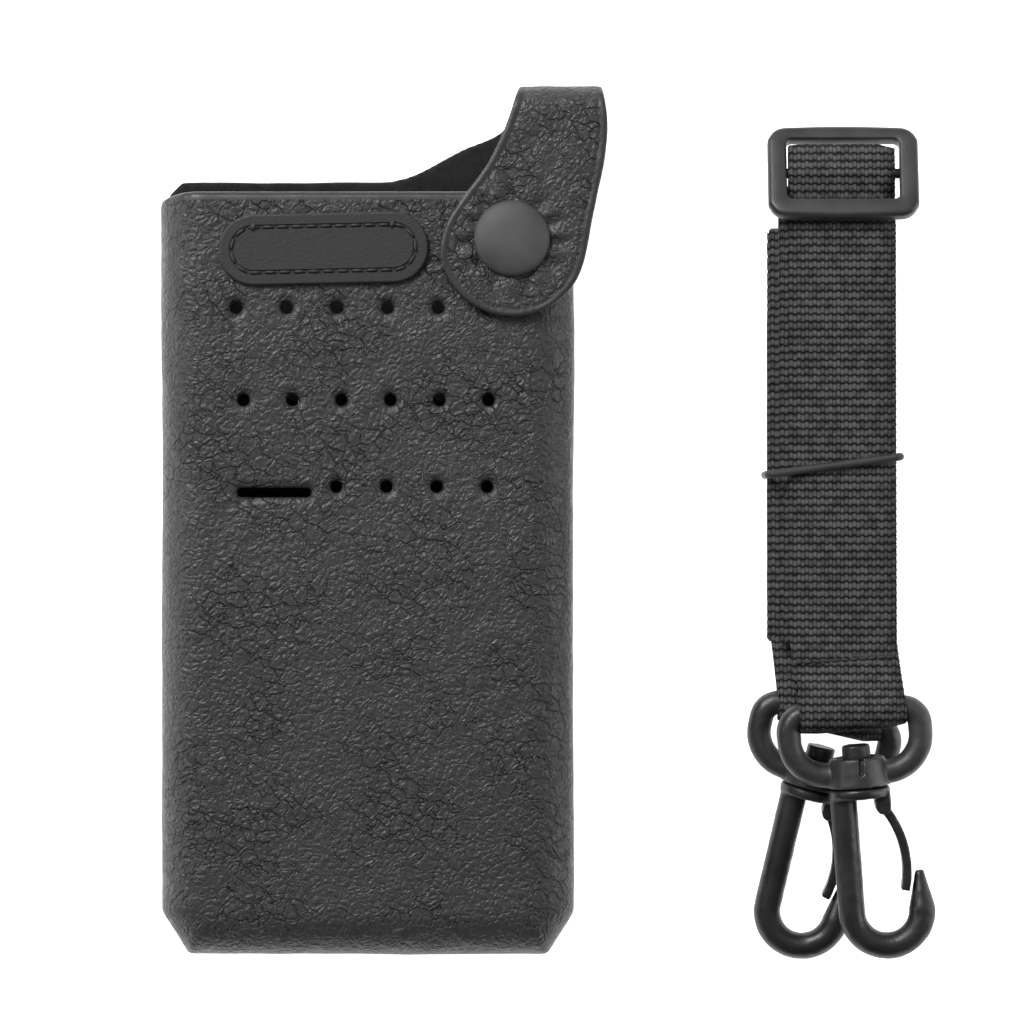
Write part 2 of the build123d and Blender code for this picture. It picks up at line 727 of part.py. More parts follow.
with BuildPart() as gate:
    with BuildLine():
        spine = ThreePointArc(
            (gate_pivot[0] + 0.6, -gate_pivot[1] - 1.0), (gate_bow - 1.7, -gate_end_v / 2),
            (gate_bow - 1.9, -gate_end_v),
        )
    with BuildSketch(Plane(spine @ 0, x_dir=(0, 0, 1), z_dir=spine % 0)):
        Rectangle(gate_width, gate_thickness)
    sweep()
    with BuildSketch(Plane.XY.offset(-gate_width / 2)):
        with Locations((gate_pivot[0], -gate_pivot[1])):
            Circle(gate_barrel)
    extrude(amount=gate_width)
    with BuildSketch(Plane.XY.offset(-gate_width / 2)):
        with Locations((gate_pivot[0], -gate_pivot[1])):
            Circle(gate_pin + running_gap)
    extrude(amount=gate_width, mode=Mode.SUBTRACT)

for name, bar in hook_places.items():
    place = hook_location(bar)
    keep(place * eye.part, f"eye_{name}")
    keep(place * hook.part, f"hook_{name}")
    keep(place * gate.part, f"gate_{name}")
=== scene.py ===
# Leather carry case for a pocket radio, and its folded shoulder strap.
# Metres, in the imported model's frame: the case lies on its back, its front up and its mouth towards +Y.
import json
import math
import random
import bmesh
import bpy
from mathutils import Matrix, Vector, noise
from mathutils.bvhtree import BVHTree
from mathutils.kdtree import KDTree


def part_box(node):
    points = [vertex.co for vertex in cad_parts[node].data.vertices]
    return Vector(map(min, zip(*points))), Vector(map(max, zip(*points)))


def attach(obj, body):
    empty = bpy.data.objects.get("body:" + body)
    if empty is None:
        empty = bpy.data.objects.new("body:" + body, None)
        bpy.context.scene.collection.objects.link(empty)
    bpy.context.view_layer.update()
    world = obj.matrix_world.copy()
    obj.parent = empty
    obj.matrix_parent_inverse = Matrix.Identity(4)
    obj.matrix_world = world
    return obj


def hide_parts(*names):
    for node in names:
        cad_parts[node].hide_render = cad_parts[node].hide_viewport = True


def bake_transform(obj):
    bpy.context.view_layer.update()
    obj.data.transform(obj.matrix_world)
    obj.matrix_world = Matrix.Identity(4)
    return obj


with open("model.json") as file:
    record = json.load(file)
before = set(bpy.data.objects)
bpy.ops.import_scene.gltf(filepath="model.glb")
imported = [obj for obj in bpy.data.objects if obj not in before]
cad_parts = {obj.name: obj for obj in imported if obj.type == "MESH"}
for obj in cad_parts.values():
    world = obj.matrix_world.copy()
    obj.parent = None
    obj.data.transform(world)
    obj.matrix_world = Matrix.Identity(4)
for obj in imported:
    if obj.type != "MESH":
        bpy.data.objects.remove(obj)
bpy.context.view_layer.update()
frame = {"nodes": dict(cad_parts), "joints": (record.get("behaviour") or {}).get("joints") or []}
nodes = frame["nodes"]
mm = 0.001
random.seed(7)
print("frame loaded")

# materials


def startMaterial(name, color, roughness):
    material = bpy.data.materials.new(name)
    material.use_nodes = True
    tree = material.node_tree
    shader = tree.nodes["Principled BSDF"]
    shader.inputs["Base Color"].default_value = (*color, 1)
    shader.inputs["Roughness"].default_value = roughness
    return material, tree, shader


def addNode(tree, kind, inputs=None, **settings):
    node = tree.nodes.new(kind)
    for key, value in settings.items():
        setattr(node, key, value)
    for key, value in (inputs or {}).items():
        if isinstance(value, bpy.types.NodeSocket):
            tree.links.new(value, node.inputs[key])
        else:
            node.inputs[key].default_value = value
    return node


def mathNode(tree, operation, first, second=0.0):
    return addNode(tree, "ShaderNodeMath", {0: first, 1: second}, operation=operation).outputs[0]


def colorRamp(tree, factor, dark, light, low=0.0, high=1.0):
    ramp = addNode(tree, "ShaderNodeValToRGB", {0: factor})
    ramp.color_ramp.elements[0].position = low
    ramp.color_ramp.elements[0].color = (*dark, 1)
    ramp.color_ramp.elements[1].position = high
    ramp.color_ramp.elements[1].color = (*light, 1)
    return ramp.outputs[0]


def mapRange(tree, value, fromLow, fromHigh, toLow, toHigh):
    inputs = {"Value": value, "From Min": fromLow, "From Max": fromHigh, "To Min": toLow, "To Max": toHigh}
    return addNode(tree, "ShaderNodeMapRange", inputs, interpolation_type="SMOOTHSTEP").outputs[0]


def bumpInto(tree, shader, height, strength, distance):
    bump = addNode(tree, "ShaderNodeBump", {"Height": height, "Strength": strength, "Distance": distance})
    tree.links.new(bump.outputs[0], shader.inputs["Normal"])


def leatherMaterial(name, look):
    material, tree, shader = startMaterial(name, look["light"], 0.5)
    place = addNode(tree, "ShaderNodeTexCoord").outputs["Object"]
    wander = addNode(tree, "ShaderNodeTexNoise",
                     {"Vector": place, "Scale": 330.0, "Detail": 3.0}).outputs["Color"]
    wanderAmount = addNode(tree, "ShaderNodeVectorMath", {0: wander}, operation="SCALE")
    wanderAmount.inputs["Scale"].default_value = look["wander"]
    bent = addNode(tree, "ShaderNodeVectorMath", {0: place, 1: wanderAmount.outputs[0]},
                   operation="ADD").outputs[0]
    patches = addNode(tree, "ShaderNodeTexNoise",
                      {"Vector": place, "Scale": 75.0, "Detail": 3.0}).outputs["Fac"]
    # patches where the creases run deep; through the colour below, the same mask also paints shade into
    # them
    creaseDepthAndShade = mapRange(tree, patches, 0.36, 0.62, look["calm"], look["creaseDepthAndShade"])

    def creases(size, width):
        cells = addNode(tree, "ShaderNodeTexVoronoi", {"Vector": bent, "Scale": 1 / size},
                        feature="DISTANCE_TO_EDGE")
        return mapRange(tree, cells.outputs[0], 0.0, width, 0.0, 1.0)

    cracks = creases(look["cell"] * 2.0, look["creaseWidth"] * 0.5)
    pebbles = creases(look["cell"], look["pebbleWidth"])
    depth = mathNode(tree, "MULTIPLY", mathNode(tree, "SUBTRACT", 1.0, cracks), creaseDepthAndShade)
    wrinkle = addNode(tree, "ShaderNodeTexNoise",
                      {"Vector": bent, "Scale": 420.0, "Detail": 6.0, "Distortion": 1.2}).outputs["Fac"]
    fine = addNode(tree, "ShaderNodeTexNoise",
                   {"Vector": place, "Scale": 2600.0, "Detail": 2.0}).outputs["Fac"]
    height = mathNode(tree, "SUBTRACT", mathNode(tree, "MULTIPLY", pebbles, 0.42),
                      mathNode(tree, "MULTIPLY", depth, 0.85))
    height = mathNode(tree, "ADD", height, mathNode(tree, "MULTIPLY", wrinkle, 0.85))
    height = mathNode(tree, "ADD", height, mathNode(tree, "MULTIPLY", fine, 0.16))
    bumpInto(tree, shader, height, look["bump"], look["depth"])
    # the colour darkens along the deeper creases: painted shade in the creases
    tone = colorRamp(tree, mathNode(tree, "SUBTRACT", 1.0, depth), look["dark"], look["light"], 0.25, 0.95)
    # lighter on the wrinkle ridges and darker in their folds, following the bump: painted highlight and
    # painted shade
    wrinkleLightAndShade = colorRamp(tree, wrinkle, (0.88, 0.88, 0.88), (1.1, 1.1, 1.1), 0.35, 0.65)
    mixed = addNode(tree, "ShaderNodeMix", {"Factor": 1.0}, data_type="RGBA", blend_type="MULTIPLY")
    tree.links.new(tone, mixed.inputs[6])
    tree.links.new(wrinkleLightAndShade, mixed.inputs[7])
    tree.links.new(mixed.outputs[2], shader.inputs["Base Color"])
    polish = mapRange(tree, wrinkle, 0.35, 0.65, look["rough"] + 0.06, look["rough"] - 0.06)
    tree.links.new(polish, shader.inputs["Roughness"])
    shader.inputs["Specular IOR Level"].default_value = look["gloss"]
    return material


def webbingMaterial(look):
    material, tree, shader = startMaterial("wovenNylon", look["light"], 0.7)
    place = addNode(tree, "ShaderNodeTexCoord").outputs["Object"]
    split = addNode(tree, "ShaderNodeSeparateXYZ", {0: place})
    across = mathNode(tree, "DIVIDE", split.outputs[0], look["yarn"])
    parity = mathNode(tree, "MODULO", mathNode(tree, "FLOOR", across), 2.0)
    rows = mathNode(tree, "ADD", mathNode(tree, "DIVIDE", split.outputs[1], look["row"]),
                    mathNode(tree, "MULTIPLY", parity, 0.14))
    yarnRound = mathNode(tree, "ABSOLUTE",
                         mathNode(tree, "SINE", mathNode(tree, "MULTIPLY", across, math.pi)))
    rowRound = mathNode(tree, "ABSOLUTE", mathNode(tree, "SINE", mathNode(tree, "MULTIPLY", rows, math.pi)))
    yarnShade = mapRange(tree, mathNode(tree, "POWER", yarnRound, 0.5), 0.0, 1.0, 0.5, 1.0)
    knit = mathNode(tree, "MULTIPLY", yarnShade, mathNode(tree, "POWER", rowRound, 0.6))
    uneven = addNode(tree, "ShaderNodeTexNoise",
                     {"Vector": place, "Scale": 620.0, "Detail": 2.0}).outputs["Fac"]
    knit = mathNode(tree, "MULTIPLY", knit, mapRange(tree, uneven, 0.35, 0.65, 0.78, 1.12))
    fibres = addNode(tree, "ShaderNodeTexNoise",
                     {"Vector": place, "Scale": 3200.0, "Detail": 3.0}).outputs["Fac"]
    # near black where the rows and yarns dip between each other: painted shade in the gaps of the weave
    tone = colorRamp(tree, knit, look["dark"], look["light"], 0.34, 1.0)
    fleck = colorRamp(tree, fibres, (0.7, 0.7, 0.7), (1.3, 1.3, 1.3), 0.3, 0.7)
    mixed = addNode(tree, "ShaderNodeMix", {"Factor": 1.0}, data_type="RGBA", blend_type="MULTIPLY")
    tree.links.new(tone, mixed.inputs[6])
    tree.links.new(fleck, mixed.inputs[7])
    tree.links.new(mixed.outputs[2], shader.inputs["Base Color"])
    height = mathNode(tree, "ADD", mathNode(tree, "MULTIPLY", knit, 0.6),
                      mathNode(tree, "MULTIPLY", fibres, 0.4))
    bumpInto(tree, shader, height, 0.8, 0.00022)
    shader.inputs["Specular IOR Level"].default_value = 0.16
    return material


def metalMaterial(name, look):
    material, tree, shader = startMaterial(name, look["color"], look["rough"])
    place = addNode(tree, "ShaderNodeTexCoord").outputs["Object"]
    cast = addNode(tree, "ShaderNodeTexNoise",
                   {"Vector": place, "Scale": look["castScale"], "Detail": 3.0}).outputs["Fac"]
    wear = addNode(tree, "ShaderNodeTexNoise",
                   {"Vector": place, "Scale": 130.0, "Detail": 4.0}).outputs["Fac"]
    tone = colorRamp(tree, wear, [c * 0.75 for c in look["color"]], [c * 1.3 for c in look["color"]],
                     0.35, 0.68)
    tree.links.new(tone, shader.inputs["Base Color"])
    polish = mapRange(tree, wear, 0.3, 0.7, look["rough"] - 0.07, look["rough"] + 0.07)
    tree.links.new(polish, shader.inputs["Roughness"])
    bumpInto(tree, shader, cast, look["bump"], 0.0001)
    shader.inputs["Metallic"].default_value = look["metallic"]
    shader.inputs["Specular IOR Level"].default_value = 0.5
    return material


leatherLook = dict(cell=1.35 * mm, creaseWidth=0.15, pebbleWidth=0.34, wander=2.9 * mm, calm=0.12, creaseDepthAndShade=1.0,
                   bump=0.75, depth=0.32 * mm, light=(0.0265, 0.0268, 0.0275), dark=(0.006, 0.006, 0.006),
                   rough=0.42, gloss=0.42)
finishes = {
    "grain": leatherMaterial("grainedLeather", leatherLook),
    "smooth": leatherMaterial("smoothLeather",
                              dict(leatherLook, creaseDepthAndShade=0.0, bump=0.12, cell=1.1 * mm, rough=0.5,
                                   dark=(0.016, 0.016, 0.016), light=(0.022, 0.022, 0.023))),
    "badge": leatherMaterial("badgeLeather",
                             dict(leatherLook, creaseDepthAndShade=0.0, bump=0.1, cell=0.9 * mm, rough=0.52,
                                  dark=(0.011, 0.011, 0.0115), light=(0.016, 0.016, 0.017))),
    "edge": leatherMaterial("paintedEdge", dict(leatherLook, creaseDepthAndShade=0.0, bump=0.06, cell=2.0 * mm, rough=0.4,
                                                dark=(0.017, 0.017, 0.017), light=(0.023, 0.023, 0.023))),
    "suede": leatherMaterial("suedeLining",
                             dict(leatherLook, bump=0.3, cell=0.5 * mm, rough=0.8, gloss=0.15,
                                  dark=(0.008, 0.008, 0.008), light=(0.014, 0.014, 0.014))),
    "webbing": webbingMaterial(dict(yarn=0.75 * mm, row=1.45 * mm, light=(0.088, 0.088, 0.089),
                                    dark=(0.0015, 0.0015, 0.0015))),
    "thread": metalMaterial("waxedThread", dict(color=(0.016, 0.016, 0.016), rough=0.6, castScale=4000.0,
                                                bump=0.5, metallic=0.0)),
    "cast": metalMaterial("blackCasting", dict(color=(0.0075, 0.0075, 0.008), rough=0.4, castScale=2200.0,
                                               bump=0.4, metallic=0.0)),
    "ring": metalMaterial("blackEyeCasting", dict(color=(0.022, 0.022, 0.023), rough=0.42, castScale=2200.0,
                                                  bump=0.4, metallic=0.0)),
    "snap": metalMaterial("matteSnap", dict(color=(0.046, 0.046, 0.048), rough=0.6, castScale=3000.0,
                                            bump=0.12, metallic=0.0)),
    "slider": metalMaterial("matteSlider", dict(color=(0.02, 0.02, 0.021), rough=0.42, castScale=1800.0,
                                                bump=0.2, metallic=0.0)),
    "rubber": metalMaterial("bandRubber", dict(color=(0.02, 0.02, 0.02), rough=0.6, castScale=1500.0,
                                               bump=0.2, metallic=0.0)),
}
print("materials made")

# shared steps


def pieceFrom(shape, name, materials, body, smooth=True):
    mesh = bpy.data.meshes.new(name)
    shape.to_mesh(mesh)
    shape.free()
    piece = bpy.data.objects.new(name, mesh)
    bpy.context.scene.collection.objects.link(piece)
    for material in materials:
        mesh.materials.append(finishes[material])
    mesh.polygons.foreach_set("use_smooth", [smooth] * len(mesh.polygons))
    if body:
        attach(piece, body)
    return piece


def shapeOfNode(nodeName):
    shape = bmesh.new()
    shape.from_mesh(nodes[nodeName].data)
    bmesh.ops.remove_doubles(shape, verts=shape.verts, dist=0.001 * mm)
    return shape


def remeshed(shape, voxel, rounds=2):
    mesh = bpy.data.meshes.new("draft")
    shape.to_mesh(mesh)
    shape.free()
    draft = bpy.data.objects.new("draft", mesh)
    bpy.context.scene.collection.objects.link(draft)
    change = draft.modifiers.new("voxels", "REMESH")
    change.mode = "VOXEL"
    change.voxel_size = voxel
    made = bpy.data.meshes.new_from_object(draft.evaluated_get(bpy.context.evaluated_depsgraph_get()))
    result = bmesh.new()
    result.from_mesh(made)
    bpy.data.objects.remove(draft)
    bpy.data.meshes.remove(mesh)
    bpy.data.meshes.remove(made)
    for _ in range(rounds):
        bmesh.ops.smooth_vert(result, verts=result.verts, factor=0.5, use_axis_x=True, use_axis_y=True,
                              use_axis_z=True)
    result.normal_update()
    return result


def undulate(shape, amount, size, seed=0.0):
    shape.normal_update()
    for v in shape.verts:
        v.co += v.normal * amount * noise.noise(v.co / size + Vector((seed, seed, seed)))


def addStitch(shape, middle, along, up, length, radius):
    side = along.cross(up).normalized()
    turn = Matrix((along.normalized(), side, up.normalized())).transposed().to_4x4()
    place = Matrix.Translation(middle) @ turn @ Matrix.Diagonal((length / 2, radius, radius, 1))
    bmesh.ops.create_uvsphere(shape, u_segments=8, v_segments=5, radius=1.0, matrix=place)


def stitchRow(shape, start, end, up, pitch, length, radius):
    run = end - start
    count = max(1, round(run.length / pitch))
    for number in range(count):
        middle = start + run * ((number + 0.5) / count)
        jitter = Vector((random.uniform(-1, 1), random.uniform(-1, 1), 0)) * 0.06 * mm
        addStitch(shape, middle + jitter, run, up, length, radius)


# moulded leather body
body = dict(voxel=0.56 * mm, edgeRound=8.0 * mm, cutX=5.0 * mm, cutY=8.0 * mm, leather=2.0 * mm,
            rim=1.15 * mm, droop=1.5 * mm, holeRadius=1.12 * mm, sunkRim=0.38 * mm, sunkDepth=0.5 * mm,
            dimple=0.3 * mm, dimpleWidth=0.6 * mm,
            rows=[(21.4, -24.3, 9.4, 6), (38.5, -22.9, 9.1, 6), (54.6, -5.7, 9.35, 4)],
            slotMiddle=(-17.2, 55.7), slotLength=13.8, slotWidth=1.7)


def makeBody(look):
    low, high = (Vector(c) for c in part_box("body_shell"))
    shape = bmesh.new()
    bmesh.ops.create_cube(shape, size=1,
                          matrix=Matrix.Translation((low + high) / 2) @ Matrix.Diagonal((*(high - low), 1)))
    for sign in (-1, 1):
        corner = Vector((high.x if sign > 0 else low.x, low.y + look["cutY"], 0))
        outward = Vector((sign * look["cutY"], -look["cutX"], 0)).normalized()
        everything = shape.verts[:] + shape.edges[:] + shape.faces[:]
        bmesh.ops.bisect_plane(shape, geom=everything, plane_co=corner, plane_no=outward, clear_outer=True)
        bmesh.ops.holes_fill(shape, edges=[e for e in shape.edges if e.is_boundary], sides=0)
    rounded = [e for e in shape.edges
               if all(v.co.z > high.z - mm for v in e.verts)
               and not all(v.co.y > high.y - mm for v in e.verts)]
    bmesh.ops.bevel(shape, geom=rounded, offset=look["edgeRound"], segments=10, profile=0.5, affect="EDGES",
                    material=-1)
    bmesh.ops.recalc_face_normals(shape, faces=shape.faces)
    shape = remeshed(shape, look["voxel"], 3)
    step = look["voxel"]
    gone = [f for f in shape.faces
            if f.calc_center_median().z < low.z + 0.8 * step
            or f.calc_center_median().y > high.y - 0.8 * step]
    bmesh.ops.delete(shape, geom=gone, context="FACES")
    undulate(shape, 0.35 * mm, 28 * mm)
    undulate(shape, 0.10 * mm, 5 * mm, 9.0)
    # holes, each in its own small dimple
    mouth = high.y
    holes = []
    for below, first, pitch, count in look["rows"]:
        for number in range(count):
            at = Vector(((first + number * pitch) * mm, mouth - below * mm))
            holes.append((at, at, look["holeRadius"]))
    half = (look["slotLength"] - look["slotWidth"]) / 2 * mm
    at = Vector((look["slotMiddle"][0] * mm, mouth - look["slotMiddle"][1] * mm))
    holes.append((at - Vector((half, 0)), at + Vector((half, 0)), look["slotWidth"] / 2 * mm))
    top = [v for v in shape.verts if v.co.z > high.z - 2 * mm]
    openEdges = set()
    for start, end, innerRadius in holes:
        radius = innerRadius + look["sunkRim"]
        reach = radius + 2.2 * mm
        near = [v for v in top if start.x - reach < v.co.x < end.x + reach
                and abs(v.co.y - start.y) < reach]
        tight = [v for v in near
                 if start.x - radius - mm < v.co.x < end.x + radius + mm
                 and abs(v.co.y - start.y) < radius + mm]
        close = list({e for v in tight for e in v.link_edges})
        bmesh.ops.subdivide_edges(shape, edges=close, cuts=1, use_grid_fill=True)
        top = [v for v in shape.verts if v.co.z > high.z - 2 * mm]
        near = [v for v in top if start.x - reach < v.co.x < end.x + reach
                and abs(v.co.y - start.y) < reach]
        inside = set()
        for v in near:
            flat = Vector((v.co.x, v.co.y))
            core = Vector((min(max(flat.x, start.x), end.x), start.y))
            away = (flat - core).length
            if away < radius - 0.16 * step:
                inside.add(v)
                continue
            if away < radius + 0.3 * step:
                flat = core + (flat - core).normalized() * radius
                v.co.x, v.co.y = flat
                away = radius
            v.co.z -= look["dimple"] * math.exp(-(((away - radius) / look["dimpleWidth"]) ** 2))
        bmesh.ops.delete(shape, geom=list(inside), context="VERTS")
        top = [v for v in top if v.is_valid]
        ring = [v for v in near if v.is_valid]
        openEdges.update(e for v in ring for e in v.link_edges if e.is_boundary)
    rim = bmesh.ops.extrude_edge_only(shape, edges=list(openEdges))["geom"]
    rimVerts = {v for v in rim if isinstance(v, bmesh.types.BMVert)}
    for v in rimVerts:
        flat = v.co.xy
        cores = [(Vector((min(max(flat.x, start.x), end.x), start.y)), radius)
                 for start, end, radius in holes]
        core, radius = min(cores, key=lambda entry: (flat - entry[0]).length)
        flat = core + (flat - core).normalized() * radius
        v.co.x, v.co.y = flat
        v.co.z -= look["sunkDepth"]
    inner = [e for e in rim if isinstance(e, bmesh.types.BMEdge) and all(v in rimVerts for v in e.verts)]
    wall = bmesh.ops.extrude_edge_only(shape, edges=inner)["geom"]
    for v in wall:
        if isinstance(v, bmesh.types.BMVert):
            v.co.z = high.z - look["leather"]
    # the lip: the cut edge of the leather, turned down to the lining
    lip = [e for e in shape.edges if e.is_boundary and all(v.co.y > high.y - 1.5 * step for v in e.verts)]
    for e in lip:
        for v in e.verts:
            v.co.y = high.y
    for depth, drop in ((look["leather"] * 0.25, 0.25 * mm), (look["leather"] * 0.75, 0.0),
                        (0.02 * mm, -3 * mm)):
        made = bmesh.ops.extrude_edge_only(shape, edges=lip)["geom"]
        verts = [v for v in made if isinstance(v, bmesh.types.BMVert)]
        for v in verts:
            coreX = min(max(v.co.x, low.x + look["edgeRound"]), high.x - look["edgeRound"])
            coreZ = min(v.co.z, high.z - look["edgeRound"])
            inward = Vector((coreX - v.co.x, 0, coreZ - v.co.z)).normalized()
            v.co += inward * depth + Vector((0, drop, 0))
        lip = [e for e in made if isinstance(e, bmesh.types.BMEdge) and e.is_boundary
               and all(v in set(verts) for v in e.verts)]
    for v in shape.verts:
        corner = min(max(1 - (v.co.x - low.x) / (7 * mm), 0), 1)
        near = min(max(1 - (high.y - v.co.y) / (14 * mm), 0), 1)
        v.co.y -= look["droop"] * corner * corner * near * min(max((v.co.z - low.z) / (10 * mm), 0), 1)
    foot = [v for v in shape.verts if v.is_boundary and v.co.z < low.z + 2 * step]
    for v in foot:
        v.co.z = low.z
    shape.normal_update()
    for f in shape.faces:
        f.material_index = 1 if f.calc_center_median().y > high.y - look["rim"] else 0
    piece = pieceFrom(shape, "mouldedLeather", ["grain", "edge"], "case")
    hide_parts("body_shell")
    return piece


makeBody(body)
print("leather body made")

# keeper strap
keeper = dict(voxel=0.33 * mm, rim=1.25 * mm, pucker=0.3 * mm, puckerAt=8.2 * mm, puckerWidth=2.0 * mm,
              folds=11, middleX=0.035, clearOfCap=7 * mm, dish=0.35 * mm, dishRadius=7.6 * mm,
              rimGroove=0.12 * mm)


def makeKeeper(look):
    low, high = (Vector(c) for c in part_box("keeper_flap"))
    capLow, capHigh = (Vector(c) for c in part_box("snap_cap"))
    capMiddle = (capLow + capHigh) / 2
    bridgeLow, bridgeHigh = (Vector(c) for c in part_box("keeper_bridge"))
    shape = shapeOfNode("keeper_flap")
    shape.from_mesh(nodes["keeper_bridge"].data)
    bmesh.ops.remove_doubles(shape, verts=shape.verts, dist=0.001 * mm)
    shape = remeshed(shape, look["voxel"], 3)
    # even out the join between the fold and the standing part
    joined = [v for v in shape.verts if abs(v.co.z - bridgeHigh.z) < 1.2 * mm]
    for _ in range(6):
        bmesh.ops.smooth_vert(shape, verts=joined, factor=0.5, use_axis_x=True, use_axis_y=True,
                              use_axis_z=True)
    shape.normal_update()
    walls = [v for v in shape.verts
             if abs(v.normal.x) > 0.55 or (abs(v.normal.z) < 0.4 and v.co.y < high.y - 9 * mm)]
    walls = [v for v in walls if (v.co.xy - capMiddle.xy).length > look["clearOfCap"]]
    tree = KDTree(len(walls))
    for number, v in enumerate(walls):
        tree.insert(v.co, number)
    tree.balance()
    for f in shape.faces:
        f.material_index = 1 if tree.find(f.calc_center_median())[2] < look["rim"] else 0
    for v in shape.verts:
        offset = v.co.xy - capMiddle.xy
        away = offset.length
        if v.normal.z > 0.3 and away < 16 * mm:
            angle = math.atan2(offset.y, offset.x)
            wave = math.sin(look["folds"] * angle + 1.3 * math.sin(2 * angle))
            v.co.z += (look["pucker"] * wave
                       * math.exp(-(((away - look["puckerAt"]) / look["puckerWidth"]) ** 2)))
            v.co.z -= look["dish"] * math.exp(-((away / look["dishRadius"]) ** 6))
        edge = tree.find(v.co)[2]
        if v.normal.z > 0.3 and look["rim"] * 0.8 < edge < look["rim"] * 1.4:
            v.co.z -= look["rimGroove"]
    undulate(shape, 0.12 * mm, 4 * mm)
    # cut halfway down the standing part, where both pieces ride alike
    cutHeight = (bridgeLow.z + bridgeHigh.z) / 2
    root = shape.copy()
    for piece, keepSide in ((shape, 1), (root, -1)):
        everything = piece.verts[:] + piece.edges[:] + piece.faces[:]
        bmesh.ops.bisect_plane(piece, geom=everything, plane_co=(0, 0, cutHeight),
                               plane_no=(0, 0, -keepSide), clear_outer=True)
        bmesh.ops.holes_fill(piece, edges=[e for e in piece.edges if e.is_boundary], sides=0)
    end = pieceFrom(shape, "keeperStrapEnd", ["grain", "edge"], None)
    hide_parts("keeper_flap")
    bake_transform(end)
    base = pieceFrom(root, "keeperStrapRoot", ["grain", "edge"], None)
    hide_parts("keeper_bridge")
    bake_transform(base)


makeKeeper(keeper)


def makeCap():
    low, high = (Vector(c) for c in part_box("snap_cap"))
    middle = (low + high) / 2
    radius = (high.x - low.x) / 2
    rise = high.z - low.z
    profile = [(0, 1.0), (0.25, 0.985), (0.5, 0.92), (0.72, 0.8), (0.88, 0.62), (0.965, 0.42), (1.0, 0.2),
               (0.985, 0.0), (0.6, 0.0)]
    shape = bmesh.new()
    line = [shape.verts.new((middle.x + radius * x, middle.y, low.z + rise * z)) for x, z in profile]
    edges = [shape.edges.new(pair) for pair in zip(line, line[1:])]
    bmesh.ops.spin(shape, geom=line + edges, cent=middle, axis=(0, 0, 1), angle=2 * math.pi, steps=72,
                   use_merge=True)
    bmesh.ops.remove_doubles(shape, verts=shape.verts, dist=0.005 * mm)
    bmesh.ops.holes_fill(shape, edges=[e for e in shape.edges if e.is_boundary], sides=0)
    bmesh.ops.recalc_face_normals(shape, faces=shape.faces)
    cap = pieceFrom(shape, "snapCapDome", ["snap"], "keeper_end")
    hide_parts("snap_cap")


makeCap()
print("keeper strap made")

# badge thread and seams
panel = dict(voxel=0.62 * mm, wave=0.12 * mm, waveLength=6 * mm)


def makeBackPanel(look):
    shape = remeshed(shapeOfNode("back_panel"), look["voxel"], 2)
    for f in shape.faces:
        f.material_index = 2 if f.normal.z > 0.6 else 0 if f.normal.z < -0.6 else 1
    undulate(shape, look["wave"], look["waveLength"], 5.0)
    piece = pieceFrom(shape, "backPanelLeather", ["grain", "edge", "suede"], "case")
    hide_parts("back_panel")


makeBackPanel(panel)
print("back panel made")

thread = dict(pitch=2.7 * mm, length=2.35 * mm, radius=0.34 * mm, inset=2.4 * mm, turn=math.radians(1.2),
              badgeLength=39.0 * mm, badgeWidth=13.2 * mm)


def makeBadgeThread(look):
    low, high = (Vector(c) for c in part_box("badge"))
    middle = (low + high) / 2
    radius = look["badgeWidth"] / 2 - look["inset"]
    straight = look["badgeLength"] / 2 - look["inset"] - radius
    around = 4 * straight + 2 * math.pi * radius
    count = round(around / look["pitch"])
    shape = bmesh.new()
    turn = Matrix.Rotation(look["turn"], 4, "Z")

    def at(distance):
        distance %= around
        if distance < 2 * straight:
            return Vector((-straight + distance, radius, 0)), Vector((1, 0, 0))
        distance -= 2 * straight
        if distance < math.pi * radius:
            angle = math.pi / 2 - distance / radius
            return (Vector((straight + radius * math.cos(angle), radius * math.sin(angle), 0)),
                    Vector((math.sin(angle), -math.cos(angle), 0)))
        distance -= math.pi * radius
        if distance < 2 * straight:
            return Vector((straight - distance, -radius, 0)), Vector((-1, 0, 0))
        angle = -math.pi / 2 - (distance - 2 * straight) / radius
        return (Vector((-straight + radius * math.cos(angle), radius * math.sin(angle), 0)),
                Vector((math.sin(angle), -math.cos(angle), 0)))

    for number in range(count):
        point, along = at(number * around / count)
        lift = Vector((middle.x, middle.y, high.z - 0.12 * mm))
        addStitch(shape, lift + turn @ point, turn @ along, Vector((0, 0, 1)), look["length"],
                  look["radius"])
    for x in (-straight, straight):
        knot = Vector((middle.x, middle.y, high.z + 0.15 * mm)) + turn @ Vector((x, radius + 0.1 * mm, 0))
        addStitch(shape, knot, Vector((0.3, 1, 0)), Vector((0, 0, 1)), 1.7 * mm, 0.5 * mm)
    piece = pieceFrom(shape, "badgeThread", ["thread"], "case")
    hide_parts("badge_stitches")


